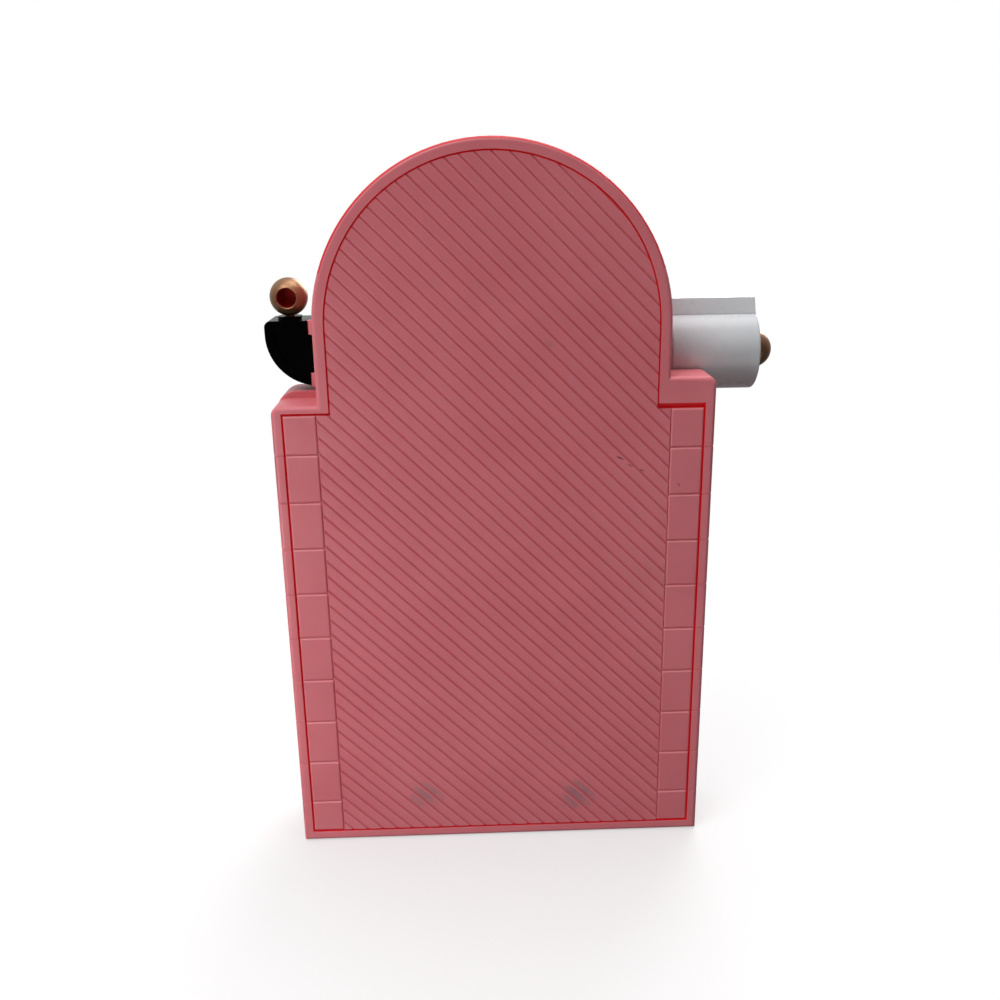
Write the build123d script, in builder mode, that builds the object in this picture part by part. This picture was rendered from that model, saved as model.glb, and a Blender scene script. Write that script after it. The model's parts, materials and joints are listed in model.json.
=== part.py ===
from build123d import *
import os
from math import cos, radians, sin

# A doll-scale playhouse: two moulded shells that open like a book, with a round-headed tower.
# X runs across the house, +X being the lamp side and -X the drum side. +Y is the back, Z is up.
# The origin is on the floor, midway across, on the seam between the two shells.

os.makedirs("parts", exist_ok=True)

# Shells
SHELL_DEPTH = 20.5
HALF_WIDTH = 105.5
HEAD_RADIUS = 83.6
SPRING = 272.7
LAMP_SHOULDER = 237.4
PARAPET = 247.8
FRONT_LAMP_SHOULDER = 240.8
TERRACE = 231.0
WALL = 2.5
FACADE = 2.5
CORNER = 4.5
RIM_ROUND = 2.2

# Back panel, let into the rear frame with an even gap round it
PANEL_HALF = 99.4
PANEL_HEAD = 76.9
PANEL_SHOULDER = 232.9
PANEL_FOOT = 6.4
PANEL_THICK = 2.8
PANEL_FACE = SHELL_DEPTH - 0.2
PANEL_BACK = PANEL_FACE - PANEL_THICK
GAP = 1.2
LEDGE = 2.0
LEDGE_FRONT = PANEL_BACK - LEDGE

# Moulded pattern
COURSE = LAMP_SHOULDER / 10
COURSES = 10
QUOIN_EDGE = 84.0
JOINT_WIDTH = 0.7
JOINT_DEPTH = 0.45
SIDING_PITCH = 5.55
SIDING_WIDTH = 1.1
SIDING_DEPTH = 0.55

# Fasteners and hinges
SCREW = 0.95
SCREW_HEAD = 2.0
HEAD_THICK = 1.4
HINGE_X = 107.0
KNUCKLE = 1.9
KNUCKLE_LONG = 10.0
KNUCKLE_GAP = 0.3
HINGE_PIN = 0.8
HINGE_FEET = (34.0, 180.0)
PIVOT = 0.8
PIVOT_HOLE = PIVOT + 0.05

# Floors
FLOOR_THICK = 2.0
FLOOR_HEIGHTS = {"lower": 120.0, "upper": 224.0}
CLEAT = 2.0
CLEAT_LONG = 13.0
CLEAT_X = HALF_WIDTH - WALL - CLEAT / 2 + 0.2

# Front openings: centre X, centre Z, width, height
WINDOWS = {
    "lower_left": (-56, 60, 38, 52),
    "lower_right": (56, 60, 38, 52),
    "upper": (0, 178, 64, 62),
}
TRIM = 3.5
TRIM_PROUD = 2.0
COLLAR = 1.9
FIT = 0.1
BAR = 2.2
PANE_LAP = 3.0
PANE_THICK = 1.0
ROSE_Z = 283.0
ROSE_RADIUS = 28.0

DOOR_HALF = 21.0
DOOR_SPRING = 82.0
DOOR_FOOT = 6.0
JAMB = 3.0
TRANSOM = 3.0
LEAF_THICK = 1.8
DOOR_AXIS = (-19.6, -21.2)
DOOR_BARREL = 1.2

SHUTTER_AXIS = (38.0, -23.0)
SHUTTER_BARREL = 1.4
SHUTTER_REACH = 37.4
SHUTTER_FOOT = 148.0
SHUTTER_TOP = 208.0
LUG_TALL = 5.6
LUG_GAP = 0.4

# Lamp arm on the tower wall
ARM_AXIS = (86.4, -2.8)
ARM_INNER = 85.4
ARM_OUTER = 109.0
ARM_TOP = 274.7
ARM_BACK = -0.4
ARM_FRONT = -21.5
ARM_SPRING = 267.8
ARM_FOOT = 243.2
ARM_ROUND = 24.6
ARM_CORNER = 3.0
ARM_BORDER = 4.5
ARM_LUG = 2.6
ARM_PIN = 0.95
ARM_PIN_HOLE = 1.0
GLOBE_AT = (97.8, -10.5, 285.2)
GLOBE_RADIUS = 9.13
COLLAR_RADIUS = 6.0
COLLAR_TOP = ARM_TOP + 1.4
STEM = 2.4
STEM_HOLE = 2.5
EYE = 4.5
EYE_DEPTH = 6.0
EYE_BEVEL = 1.0

# Drum beside the tower
DRUM_AXIS = (-19.7, 254.0)
DRUM_RADIUS = 19.5
DRUM_OUTER = -131.4
DRUM_INNER = -88.0
DRUM_WALL = 1.8
KNOB_X = -132.3
KNOB_RADIUS = 9.2
AXLE = 2.5
JOURNAL = 3.0
DRUM_SCREWS = (248.0, 260.0)
DRUM_SCREW_Y = -10.5

# Latch on the drum side
LATCH_Z = 110.0
LATCH_PIVOT_Y = -8.0
CATCH_Y = 6.0
CATCH = 1.5
LATCH_THICK = 2.0
LATCH_INNER = -(HALF_WIDTH + 0.2)

# Furniture that folds down from the back wall: low X, high X, axis Z, reach
FOLDING = {"table": (18, 80, 45, 24), "bed": (-16, 70, 128, 28)}
FOLD_Y = 13.6
FOLD_BARREL = 1.4
FOLD_THICK = 1.8


def upright(y):
    """The plane across the house at depth y, drawn with X across and Z up. Extrudes run to -Y."""
    return Plane.XZ.offset(-y)


def sideways(x):
    """The plane along the house at x, drawn with Y across and Z up. Extrudes run to +X."""
    return Plane.YZ.offset(x)


def save(builder, name):
    builder.part.label = name
    export_step(builder.part, f"parts/{name}.step")


def house_face(half, head, lamp_shoulder, drum_shoulder, foot):
    """A wide body with a round-headed tower on it, drawn into the sketch that is open."""
    with BuildLine() as outline:
        Polyline((-half, drum_shoulder), (-half, foot), (half, foot), (half, lamp_shoulder))
        Polyline((half, lamp_shoulder), (head, lamp_shoulder), (head, SPRING))
        ThreePointArc((head, SPRING), (0, SPRING + head), (-head, SPRING))
        Polyline((-head, SPRING), (-head, drum_shoulder), (-half, drum_shoulder))
    make_face(outline.edges())


def round_head(half, foot, spring):
    """A door-shaped outline with a half-round top."""
    with BuildLine() as outline:
        Polyline((-half, spring), (-half, foot), (half, foot), (half, spring))
        ThreePointArc((half, spring), (0, spring + half), (-half, spring))
    make_face(outline.edges())


def shoulder_corner(sketch, side):
    """The outer top corner of the body on one side of a house outline."""
    at_side = sketch.vertices().filter_by_position(Axis.X, side - 1, side + 1)
    return at_side.sort_by(Axis.Y)[-1]


def brick_joints(face_y, rim_inner):
    """Cuts the joints between brick courses across both side walls and round on to one face."""
    for course in range(1, COURSES):
        z = COURSE * course
        with Locations((-HALF_WIDTH, 0, z), (HALF_WIDTH, 0, z)):
            Box(2 * JOINT_DEPTH, 4 * SHELL_DEPTH, JOINT_WIDTH, mode=Mode.SUBTRACT)
        middle = (rim_inner + HALF_WIDTH) / 2
        with Locations((-middle, face_y, z), (middle, face_y, z)):
            Box(HALF_WIDTH - rim_inner, 2 * JOINT_DEPTH, JOINT_WIDTH, mode=Mode.SUBTRACT)


def quoin_edges(face_y, foot, top):
    """Cuts the upright groove between the brick quoins and the siding, on both sides."""
    with Locations(*[(side * QUOIN_EDGE, face_y, (foot + top) / 2) for side in (-1, 1)]):
        Box(JOINT_WIDTH, 2 * JOINT_DEPTH, top - foot, mode=Mode.SUBTRACT)


def siding_grooves(face_y, inward):
    """The V grooves of the diagonal siding. inward is -1 for a face seen from +Y, 1 from -Y."""
    along = Vector(1, 0, 1).normalized()
    across = Vector(-1, 0, 1).normalized()
    run = 380.0
    start = Vector(0, face_y, 0) - along * 70
    lip = SIDING_WIDTH / 2
    with BuildPart() as grooves:
        with BuildSketch(Plane(origin=start, x_dir=across, z_dir=along)):
            with Locations(*[(k * SIDING_PITCH, 0) for k in range(-10, 56)]):
                Polygon(
                    (-lip * 1.4, 0.4 * SIDING_DEPTH * inward),
                    (lip * 1.4, 0.4 * SIDING_DEPTH * inward),
                    (0, -SIDING_DEPTH * inward),
                    align=None,
                )
        extrude(amount=run)
        with BuildSketch(upright(face_y + 3)):
            house_face(QUOIN_EDGE, PANEL_HEAD + 2, PANEL_SHOULDER + 1, PANEL_SHOULDER + 1, 3)
        extrude(amount=6, mode=Mode.INTERSECT)
    return grooves.part


def hinge_knuckles(first, back):
    """Every other knuckle of both hinges, and the clearance round the other shell's knuckles.

    first is 0 if the lowest knuckle is this shell's, and back is 1 for the rear shell, -1 for the front.
    """
    step = KNUCKLE_LONG + KNUCKLE_GAP
    for foot in HINGE_FEET:
        for place in range(3):
            z = foot + place * step
            mine = place % 2 == first
            with BuildSketch(Plane.XY.offset(z if mine else z - KNUCKLE_GAP)) as ring:
                with Locations((HINGE_X, 0)):
                    Circle(KNUCKLE if mine else KNUCKLE + 0.4)
                if mine:
                    with BuildLine():
                        Polyline(
                            (HINGE_X + KNUCKLE, 0),
                            (HALF_WIDTH - 0.5, 7 * back),
                            (HALF_WIDTH - 0.5, 0),
                            close=True,
                        )
                    make_face()
            if mine:
                extrude(ring.sketch, amount=KNUCKLE_LONG)
            else:
                extrude(ring.sketch, amount=KNUCKLE_LONG + 2 * KNUCKLE_GAP, mode=Mode.SUBTRACT)
        with BuildSketch(Plane.XY.offset(foot - 1)) as bore:
            with Locations((HINGE_X, 0)):
                Circle(HINGE_PIN + 0.05)
        extrude(bore.sketch, amount=3 * step + 2, mode=Mode.SUBTRACT)


def floor_cleats(y):
    for height in FLOOR_HEIGHTS.values():
        for side in (-1, 1):
            with Locations((side * CLEAT_X, y, height - CLEAT / 2)):
                Box(CLEAT + 0.4, CLEAT_LONG, CLEAT)


# --- Rear shell ---------------------------------------------------------------------------------

panel_screw_spots = [(side * 97, z) for side in (-1, 1) for z in (30, 100, 200)]
panel_screw_spots += [(74.5 * cos(radians(a)), SPRING + 74.5 * sin(radians(a))) for a in (30, 90, 150)]
panel_screw_spots += [(-40, 11), (40, 11)]

with BuildPart() as rear_frame:
    with BuildSketch(upright(SHELL_DEPTH)) as outline:
        house_face(HALF_WIDTH, HEAD_RADIUS, LAMP_SHOULDER, PARAPET, 0)
        fillet([shoulder_corner(outline, side * HALF_WIDTH) for side in (-1, 1)], CORNER)
    extrude(amount=SHELL_DEPTH)
    fillet(rear_frame.faces().sort_by(Axis.Y)[-1].edges(), RIM_ROUND)
    with BuildSketch(upright(SHELL_DEPTH)):
        house_face(
            PANEL_HALF + GAP,
            PANEL_HEAD + GAP,
            PANEL_SHOULDER + 1.0,
            PANEL_SHOULDER + 2.5,
            PANEL_FOOT - GAP,
        )
    extrude(amount=SHELL_DEPTH - PANEL_BACK, mode=Mode.SUBTRACT)
    with BuildSketch(upright(PANEL_BACK)):
        house_face(92, 68, 222, 222, 16)
    extrude(amount=LEDGE, mode=Mode.SUBTRACT)
    with BuildSketch(upright(LEDGE_FRONT)):
        house_face(HALF_WIDTH - WALL, HEAD_RADIUS - WALL, LAMP_SHOULDER - WALL, TERRACE - WALL, WALL)
    extrude(amount=LEDGE_FRONT, mode=Mode.SUBTRACT)
    # The parapet behind the terrace is hollow from below, with its own front wall.
    with BuildSketch(upright(LEDGE_FRONT)):
        with Locations((-94.5, 236)):
            Rectangle(17, 17)
    extrude(amount=LEDGE_FRONT - WALL, mode=Mode.SUBTRACT)
    with BuildSketch(upright(PANEL_BACK)):
        with Locations(*panel_screw_spots):
            Circle(SCREW + 0.25)
    extrude(amount=LEDGE, mode=Mode.SUBTRACT)
    brick_joints(SHELL_DEPTH, PANEL_HALF + GAP)
    floor_cleats(8)
    hinge_knuckles(0, 1)
    # Peg that the latch drops over
    with BuildSketch(sideways(-HALF_WIDTH - LATCH_THICK - 0.5)):
        with Locations((CATCH_Y, LATCH_Z)):
            Circle(CATCH)
    extrude(amount=LATCH_THICK + 1)
save(rear_frame, "rear_frame")

with BuildPart() as back_panel:
    with BuildSketch(upright(PANEL_FACE)):
        house_face(PANEL_HALF, PANEL_HEAD, PANEL_SHOULDER, PANEL_SHOULDER, PANEL_FOOT)
    extrude(amount=PANEL_THICK)
    with BuildSketch(upright(PANEL_BACK + 2)):
        with Locations(*panel_screw_spots):
            Circle(SCREW + 0.05)
    extrude(amount=2, mode=Mode.SUBTRACT)
    brick_span = PANEL_HALF - QUOIN_EDGE
    for course in range(1, COURSES):
        with Locations(
            *[(side * (QUOIN_EDGE + brick_span / 2), PANEL_FACE, COURSE * course) for side in (-1, 1)]
        ):
            Box(brick_span, 2 * JOINT_DEPTH, JOINT_WIDTH, mode=Mode.SUBTRACT)
    quoin_edges(PANEL_FACE, PANEL_FOOT, PANEL_SHOULDER)
    add(siding_grooves(PANEL_FACE, -1), mode=Mode.SUBTRACT)
save(back_panel, "back_panel")

with BuildPart() as panel_screws:
    with BuildSketch(upright(LEDGE_FRONT)):
        with Locations(*panel_screw_spots):
            Circle(SCREW_HEAD)
    extrude(amount=HEAD_THICK)
    with BuildSketch(upright(PANEL_BACK + 1.8)):
        with Locations(*panel_screw_spots):
            Circle(SCREW)
    extrude(amount=LEDGE + 1.8)
save(panel_screws, "panel_screws")

with BuildPart() as hinge_pins:
    for foot in HINGE_FEET:
        with BuildSketch(Plane.XY.offset(foot)):
            with Locations((HINGE_X, 0)):
                Circle(HINGE_PIN)
        extrude(amount=3 * KNUCKLE_LONG + 2 * KNUCKLE_GAP)
save(hinge_pins, "hinge_pins")


def floor_board(name, height, low_y, high_y, stairwell):
    with BuildPart() as board:
        with BuildSketch(Plane.XY.offset(height)):
            with Locations((0, (low_y + high_y) / 2)):
                Rectangle(2 * (HALF_WIDTH - WALL - 0.2), high_y - low_y)
            if stairwell:
                with Locations((-87, low_y + 5.5)):
                    Rectangle(22, 11, mode=Mode.SUBTRACT)
        extrude(amount=FLOOR_THICK)
    save(board, name)


floor_board("rear_lower_floor", FLOOR_HEIGHTS["lower"], 0.3, LEDGE_FRONT - 0.2, True)
floor_board("rear_upper_floor", FLOOR_HEIGHTS["upper"], 0.3, LEDGE_FRONT - 0.2, False)
floor_board("front_lower_floor", FLOOR_HEIGHTS["lower"], -SHELL_DEPTH + FACADE + 0.3, -0.3, False)
floor_board("front_upper_floor", FLOOR_HEIGHTS["upper"], -SHELL_DEPTH + FACADE + 0.3, -0.3, False)

STEPS = 8
STAIR_FOOT = -44.0
STAIR_GOING = 6.4
STAIR_RISE = (FLOOR_HEIGHTS["lower"] - WALL - 0.2) / STEPS

with BuildPart() as staircase:
    with BuildSketch(upright(14.0)):
        with BuildLine():
            corners = [(STAIR_FOOT, WALL)]
            for step in range(STEPS):
                x = STAIR_FOOT - step * STAIR_GOING
                corners.append((x, WALL + (step + 1) * STAIR_RISE))
                corners.append((x - STAIR_GOING, WALL + (step + 1) * STAIR_RISE))
            end = STAIR_FOOT - STEPS * STAIR_GOING
            corners.append((end, WALL + (STEPS - 1.6) * STAIR_RISE))
            corners.append((STAIR_FOOT - 1.2 * STAIR_GOING, WALL))
            Polyline(*corners, close=True)
        make_face()
    extrude(amount=10.5)
save(staircase, "staircase")

MIRROR = (-66, 172, 26, 44)

with BuildPart() as mirror_frame:
    with BuildSketch(upright(PANEL_BACK)):
        with Locations(MIRROR[:2]):
            Ellipse(MIRROR[2] / 2, MIRROR[3] / 2)
    extrude(amount=2.4)
    with BuildSketch(upright(PANEL_BACK - 1.2)):
        with Locations(MIRROR[:2]):
            Ellipse(MIRROR[2] / 2 - 2.4, MIRROR[3] / 2 - 2.4)
    extrude(amount=1.2, mode=Mode.SUBTRACT)
save(mirror_frame, "mirror_frame")

with BuildPart() as mirror_plate:
    with BuildSketch(upright(PANEL_BACK - 1.2)):
        with Locations(MIRROR[:2]):
            Ellipse(MIRROR[2] / 2 - 2.5, MIRROR[3] / 2 - 2.5)
    extrude(amount=0.8)
save(mirror_plate, "mirror_plate")

for item, (low, high, axis_z, reach) in FOLDING.items():
    with BuildPart() as rail:
        with BuildSketch(sideways(low)):
            with Locations(((PANEL_BACK + 15.9) / 2, axis_z)):
                Rectangle(PANEL_BACK - 15.9, 5)
        extrude(amount=high - low)
        for x in (low, high - 3):
            with BuildSketch(sideways(x)):
                with Locations((PANEL_BACK, axis_z)):
                    Rectangle(PANEL_BACK - FOLD_Y, 5, align=(Align.MAX, Align.CENTER))
                with Locations((FOLD_Y, axis_z)):
                    Circle(2.5)
            extrude(amount=3)
        with BuildSketch(sideways(low)):
            with Locations((FOLD_Y, axis_z)):
                Circle(PIVOT_HOLE)
        extrude(amount=high - low, mode=Mode.SUBTRACT)
    save(rail, f"{item}_rail")

    with BuildPart() as leaf:
        with BuildSketch(sideways(low + 3.3)):
            with Locations((FOLD_Y, axis_z)):
                Circle(FOLD_BARREL)
                Rectangle(FOLD_THICK, reach, align=(Align.CENTER, Align.MIN))
        extrude(amount=high - low - 6.6)
        with BuildSketch(sideways(low + 0.5)):
            with Locations((FOLD_Y, axis_z)):
                Circle(PIVOT)
        extrude(amount=high - low - 1)
    save(leaf, f"fold_{item}")

# --- Front shell --------------------------------------------------------------------------------

front_y = -SHELL_DEPTH
lug_heights = (SHUTTER_FOOT - LUG_GAP - LUG_TALL, SHUTTER_TOP + LUG_GAP)
arm_lugs = ((242.8, 249.6), (268.0, ARM_TOP))

with BuildPart() as front_frame:
    with BuildSketch(upright(0)) as outline:
        house_face(HALF_WIDTH, HEAD_RADIUS, FRONT_LAMP_SHOULDER, TERRACE, 0)
        fillet(shoulder_corner(outline, HALF_WIDTH), 9)
        fillet(shoulder_corner(outline, -HALF_WIDTH), CORNER)
    extrude(amount=SHELL_DEPTH)
    fillet(front_frame.faces().sort_by(Axis.Y)[0].edges(), RIM_ROUND)
    with BuildSketch(upright(0)):
        house_face(HALF_WIDTH - WALL, HEAD_RADIUS - WALL, 234, TERRACE - WALL, WALL)
    extrude(amount=SHELL_DEPTH - FACADE, mode=Mode.SUBTRACT)
    brick_joints(front_y, QUOIN_EDGE)
    quoin_edges(front_y, 2, PANEL_SHOULDER - 4)
    add(siding_grooves(front_y, 1), mode=Mode.SUBTRACT)
    with BuildSketch(upright(0)):
        for x, z, width, height in WINDOWS.values():
            with Locations((x, z)):
                Rectangle(width, height)
        with Locations((0, ROSE_Z)):
            Circle(ROSE_RADIUS)
        round_head(DOOR_HALF + JAMB, 3.0, DOOR_SPRING)
    extrude(amount=SHELL_DEPTH, mode=Mode.SUBTRACT)
    floor_cleats(-9)
    hinge_knuckles(1, -1)
    # Lugs for the shutters
    for z in lug_heights:
        with BuildSketch(Plane.XY.offset(z)):
            with Locations(*[(side * SHUTTER_AXIS[0], front_y) for side in (-1, 1)]):
                Rectangle(3.6, front_y - SHUTTER_AXIS[1] + 1.7, align=(Align.CENTER, Align.MAX))
            with Locations(*[(side * SHUTTER_AXIS[0], SHUTTER_AXIS[1]) for side in (-1, 1)]):
                Circle(PIVOT_HOLE, mode=Mode.SUBTRACT)
        extrude(amount=LUG_TALL)
    # Lugs for the lamp arm
    for low, high in arm_lugs:
        with BuildSketch(Plane.XY.offset(low)):
            with Locations(ARM_AXIS):
                Circle(ARM_LUG)
            with Locations((HEAD_RADIUS - 0.5, ARM_AXIS[1])):
                Rectangle(ARM_AXIS[0] - HEAD_RADIUS + 0.5, 2 * ARM_LUG, align=(Align.MIN, Align.CENTER))
            with Locations(ARM_AXIS):
                Circle(ARM_PIN_HOLE, mode=Mode.SUBTRACT)
        extrude(amount=high - low)
    # Holes for the latch screw and the two drum screws
    with BuildSketch(sideways(-HALF_WIDTH)):
        with Locations((LATCH_PIVOT_Y, LATCH_Z)):
            Circle(SCREW + 0.05)
    extrude(amount=WALL + 1, mode=Mode.SUBTRACT)
    with BuildSketch(sideways(-HEAD_RADIUS - 0.5)):
        with Locations(*[(DRUM_SCREW_Y, z) for z in DRUM_SCREWS]):
            Circle(SCREW + 0.15)
    extrude(amount=WALL + 1.5, mode=Mode.SUBTRACT)
save(front_frame, "front_frame")

for name, (x, z, width, height) in WINDOWS.items():
    with BuildPart() as frame:
        with BuildSketch(upright(front_y)):
            with Locations((x, z)):
                Rectangle(width + 2 * TRIM, height + 2 * TRIM)
                Rectangle(width - 3, height - 3, mode=Mode.SUBTRACT)
                Rectangle(BAR, height)
                Rectangle(width, BAR)
        extrude(amount=TRIM_PROUD)
        with BuildSketch(upright(front_y + COLLAR)):
            with Locations((x, z)):
                Rectangle(width - 2 * FIT, height - 2 * FIT)
                Rectangle(width - 3, height - 3, mode=Mode.SUBTRACT)
        extrude(amount=COLLAR)
    save(frame, f"{name}_window_frame")

    with BuildPart() as pane:
        with BuildSketch(upright(front_y + FACADE + PANE_THICK)):
            with Locations((x, z)):
                Rectangle(width + 2 * PANE_LAP, height + 2 * PANE_LAP)
        extrude(amount=PANE_THICK)
    save(pane, f"{name}_window_pane")

with BuildPart() as rose_window_frame:
    with BuildSketch(upright(front_y)):
        with Locations((0, ROSE_Z)):
            Circle(ROSE_RADIUS + TRIM)
            Circle(ROSE_RADIUS - 1.5, mode=Mode.SUBTRACT)
            for angle in (0, 45, 90, 135):
                Rectangle(2 * ROSE_RADIUS, BAR * 0.8, rotation=angle)
            Circle(ROSE_RADIUS * 0.3)
    extrude(amount=TRIM_PROUD)
    with BuildSketch(upright(front_y + COLLAR)):
        with Locations((0, ROSE_Z)):
            Circle(ROSE_RADIUS - FIT)
            Circle(ROSE_RADIUS - 1.5, mode=Mode.SUBTRACT)
    extrude(amount=COLLAR)
save(rose_window_frame, "rose_window_frame")

with BuildPart() as rose_window_pane:
    with BuildSketch(upright(front_y + FACADE + PANE_THICK)):
        with Locations((0, ROSE_Z)):
            Circle(ROSE_RADIUS + PANE_LAP)
    extrude(amount=PANE_THICK)
save(rose_window_pane, "rose_window_pane")

with BuildPart() as door_frame:
    with BuildSketch(upright(front_y)):
        round_head(DOOR_HALF + JAMB + TRIM, 4, DOOR_SPRING)
    extrude(amount=TRIM_PROUD)
    with BuildSketch(upright(front_y + COLLAR)):
        round_head(DOOR_HALF + JAMB - FIT, 4, DOOR_SPRING)
    extrude(amount=COLLAR)
    with BuildSketch(upright(0)):
        with Locations((0, DOOR_FOOT)):
            Rectangle(2 * DOOR_HALF, DOOR_SPRING - TRANSOM - DOOR_FOOT, align=(Align.CENTER, Align.MIN))
        with BuildLine():
            Polyline((-DOOR_HALF, DOOR_SPRING), (DOOR_HALF, DOOR_SPRING))
            ThreePointArc(
                (DOOR_HALF, DOOR_SPRING), (0, DOOR_SPRING + DOOR_HALF), (-DOOR_HALF, DOOR_SPRING)
            )
        make_face()
        with Locations(*[Location((0, DOOR_SPRING), angle) for angle in (45, 90, 135)]):
            Rectangle(DOOR_HALF + 3, BAR * 0.8, align=(Align.MIN, Align.CENTER), mode=Mode.SUBTRACT)
    extrude(amount=2 * SHELL_DEPTH, mode=Mode.SUBTRACT)
    with BuildSketch(Plane.XY):
        with Locations(DOOR_AXIS):
            Circle(PIVOT_HOLE)
    extrude(amount=DOOR_SPRING - 0.8, mode=Mode.SUBTRACT)
save(door_frame, "door_frame")

with BuildPart() as fanlight_pane:
    with BuildSketch(upright(front_y + FACADE + PANE_THICK)):
        with BuildLine():
            radius = DOOR_HALF + JAMB + 2
            Polyline((-radius, DOOR_SPRING), (radius, DOOR_SPRING))
            ThreePointArc((radius, DOOR_SPRING), (0, DOOR_SPRING + radius), (-radius, DOOR_SPRING))
        make_face()
    extrude(amount=PANE_THICK)
save(fanlight_pane, "fanlight_pane")

with BuildPart() as door_step:
    with BuildSketch(Plane.XY) as slab:
        with Locations((0, front_y)):
            Rectangle(60, 13, align=(Align.CENTER, Align.MAX))
        fillet(slab.vertices().group_by(Axis.Y)[0], 4)
    extrude(amount=4)
save(door_step, "door_step")

leaf_foot = DOOR_FOOT + 0.5
leaf_top = DOOR_SPRING - TRANSOM - 0.5
leaf_front = -20.6

with BuildPart() as door_leaf:
    with BuildSketch(upright(leaf_front + LEAF_THICK)):
        with Locations((DOOR_AXIS[0], leaf_foot)):
            Rectangle(40.1, leaf_top - leaf_foot, align=(Align.MIN, Align.MIN))
    extrude(amount=LEAF_THICK)
    with BuildSketch(Plane.XY.offset(leaf_foot)):
        with Locations(DOOR_AXIS):
            Circle(DOOR_BARREL)
    extrude(amount=leaf_top - leaf_foot)
    with BuildSketch(Plane.XY.offset(leaf_foot - 1.8)):
        with Locations(DOOR_AXIS):
            Circle(PIVOT)
    extrude(amount=leaf_top - leaf_foot + 3.6)
    with BuildSketch(upright(0)):
        with Locations((15.5, 42)):
            Circle(1.05)
    extrude(amount=2 * SHELL_DEPTH, mode=Mode.SUBTRACT)
save(door_leaf, "door_leaf")

with BuildPart() as door_knob:
    with BuildSketch(upright(-15.5)):
        with Locations((15.5, 42)):
            Circle(1.0)
    extrude(amount=9)
    with Locations((15.5, -24.6, 42)):
        Sphere(2.6)
    with Locations((15.5, -15.6, 42)):
        Sphere(2.2)
save(door_knob, "door_knob")

for name, side in (("left", -1), ("right", 1)):
    axis_x = side * SHUTTER_AXIS[0]
    with BuildPart() as shutter:
        with BuildSketch(upright(SHUTTER_AXIS[1] + 0.1 + LEAF_THICK)):
            with Locations((axis_x + side * SHUTTER_REACH / 2, (SHUTTER_FOOT + SHUTTER_TOP) / 2)):
                Rectangle(SHUTTER_REACH, SHUTTER_TOP - SHUTTER_FOOT)
        extrude(amount=LEAF_THICK)
        # Louvre slots, clear of the barrel
        with BuildSketch(upright(0)):
            middle = axis_x + side * (SHUTTER_REACH + 1.5) / 2
            with Locations((middle, (SHUTTER_FOOT + SHUTTER_TOP) / 2)):
                with GridLocations(0, 4.4, 1, 12):
                    SlotOverall(SHUTTER_REACH - 10, 1.3)
        extrude(amount=2 * SHELL_DEPTH, mode=Mode.SUBTRACT)
        with BuildSketch(Plane.XY.offset(SHUTTER_FOOT)):
            with Locations((axis_x, SHUTTER_AXIS[1])):
                Circle(SHUTTER_BARREL)
        extrude(amount=SHUTTER_TOP - SHUTTER_FOOT)
        with BuildSketch(Plane.XY.offset(SHUTTER_FOOT - 3)):
            with Locations((axis_x, SHUTTER_AXIS[1])):
                Circle(PIVOT)
        extrude(amount=SHUTTER_TOP - SHUTTER_FOOT + 6)
    save(shutter, f"{name}_shutter")

with BuildPart() as awning:
    with BuildSketch(sideways(-36)):
        with BuildLine():
            Polyline(
                (front_y, 127), (-37, 116), (-37, 111), (-35.6, 111), (-35.6, 115), (front_y, 125), close=True
            )
        make_face()
    extrude(amount=72)
    for x in (-36, 34.6):
        with BuildSketch(sideways(x)):
            with BuildLine():
                Polyline((front_y, 126.5), (-36.5, 116), (-36.5, 111), (front_y, 111), close=True)
            make_face()
        extrude(amount=1.4)
save(awning, "awning")

with BuildPart() as flower_box:
    with BuildSketch(Plane.XY.offset(129)):
        with Locations((0, front_y)):
            Rectangle(66, 11, align=(Align.CENTER, Align.MAX))
    extrude(amount=11)
    with BuildSketch(Plane.XY.offset(131)):
        with Locations((0, front_y - 1.5)):
            Rectangle(63, 8, align=(Align.CENTER, Align.MAX))
    extrude(amount=9, mode=Mode.SUBTRACT)
save(flower_box, "flower_box")

with BuildPart() as flowers:
    with BuildSketch(Plane.XY.offset(131)):
        with Locations((0, front_y - 1.7)):
            Rectangle(62.4, 7.6, align=(Align.CENTER, Align.MAX))
    extrude(amount=11)
save(flowers, "flowers")

with BuildPart() as sign_plate:
    with BuildSketch(upright(front_y)):
        with Locations((0, 228)):
            RectangleRounded(78, 16, 4)
    extrude(amount=1.8)
save(sign_plate, "sign_plate")

# --- Lamp arm and globe -------------------------------------------------------------------------

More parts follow.
